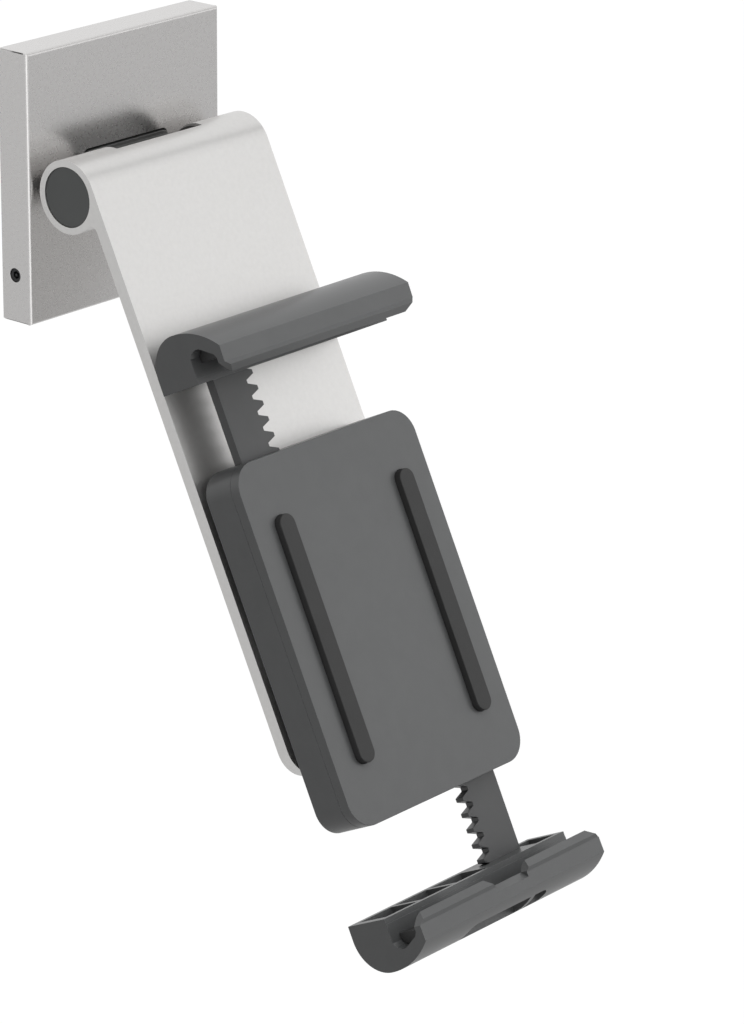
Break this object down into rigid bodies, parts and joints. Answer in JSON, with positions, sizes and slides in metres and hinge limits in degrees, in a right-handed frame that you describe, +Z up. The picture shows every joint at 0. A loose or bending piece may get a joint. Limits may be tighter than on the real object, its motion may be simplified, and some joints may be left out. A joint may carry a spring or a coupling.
{
  "type": "tablet wall mount",
  "caption": "Wall mount for a flat device: square wall cover, tilting extruded arm on a tube hinge, and a turning holder with hooked jaws that open together.",
  "frame": {"origin": "centre of the four wall screw holes, on the bracket's back face, which lies on the wall", "axes": "+Y into the wall, +X to the right as seen from the front, +Z up"},
  "size_m": [0.0808, 0.1614, 0.2418],
  "materials": {
    "brushed_cover": "fine satin stainless steel",
    "satin_aluminium": "fine-blasted silver anodised",
    "grey_plastic": "satin moulded plastic, dark grey",
    "dark_plastic": "satin moulded plastic",
    "dark_metal": "satin grey coating",
    "turned_aluminium": "turned",
    "zinc_steel": "black zinc plated",
    "screw_steel": "zinc plated",
    "spring_steel": "polished",
    "black_screw": "black oxide",
    "gear_plastic": "dark glass-filled plastic",
    "pad_rubber": "soft matt rubber"
  },
  "bodies": {
    "wall_unit": {"wall_bracket": "zinc_steel", "hinge_knuckle": "dark_metal", "knuckle_screws": "screw_steel", "cover": "brushed_cover", "cover_screw": "black_screw"},
    "arm": {"arm_profile": "satin_aluminium", "end_cap_left": "dark_plastic", "end_cap_right": "dark_plastic", "bush_left": "turned_aluminium", "bush_right": "turned_aluminium", "hinge_bolt": "screw_steel", "hinge_nut": "screw_steel", "disc_springs": "spring_steel", "friction_washers": "black_screw", "set_screws": "black_screw", "turn_base": "turned_aluminium", "turn_base_screws": "screw_steel", "turn_retainer": "zinc_steel", "retainer_screws": "screw_steel"},
    "holder": {"holder_shell": "grey_plastic", "holder_front": "grey_plastic", "shell_screws": "screw_steel", "wave_washer": "spring_steel", "click_balls": "spring_steel", "click_springs": "spring_steel", "front_pads": "pad_rubber"},
    "upper_jaw_unit": {"upper_jaw": "grey_plastic", "upper_rack": "gear_plastic", "upper_pad": "pad_rubber", "upper_jaw_screws": "screw_steel"},
    "lower_jaw_unit": {"lower_jaw": "grey_plastic", "lower_rack": "gear_plastic", "lower_pads": "pad_rubber", "lower_jaw_screws": "screw_steel"},
    "gear": {"pinion": "gear_plastic"}
  },
  "joints": [
    {"name": "arm_tilt", "type": "hinge", "parent": "wall_unit", "child": "arm", "pos_m": [0, -0.0236, 0], "axis": [1, 0, 0], "range_deg": [-49, 26]},
    {"name": "holder_turn", "type": "hinge", "parent": "arm", "child": "holder", "pos_m": [0, -0.0855, -0.12691], "axis": [0, -0.8988, 0.4384], "continuous": true},
    {"name": "lower_jaw_slide", "type": "slide", "parent": "holder", "child": "lower_jaw_unit", "axis": [0, -0.4384, -0.8988], "range_m": [-0.022, 0.022]},
    {"name": "upper_jaw_slide", "type": "slide", "parent": "holder", "child": "upper_jaw_unit", "axis": [0, 0.4384, 0.8988], "range_m": [-0.022, 0.022]},
    {"name": "pinion_turn", "type": "hinge", "parent": "holder", "child": "gear", "pos_m": [0, -0.0855, -0.12691], "axis": [0, -0.8988, 0.4384], "range_deg": [-94, 94]}
  ],
  "couplings": [
    {"joint": "upper_jaw_slide", "follows": "lower_jaw_slide", "ratio": 1},
    {"joint": "pinion_turn", "follows": "lower_jaw_slide", "rad_per_m": -74.074}
  ]
}
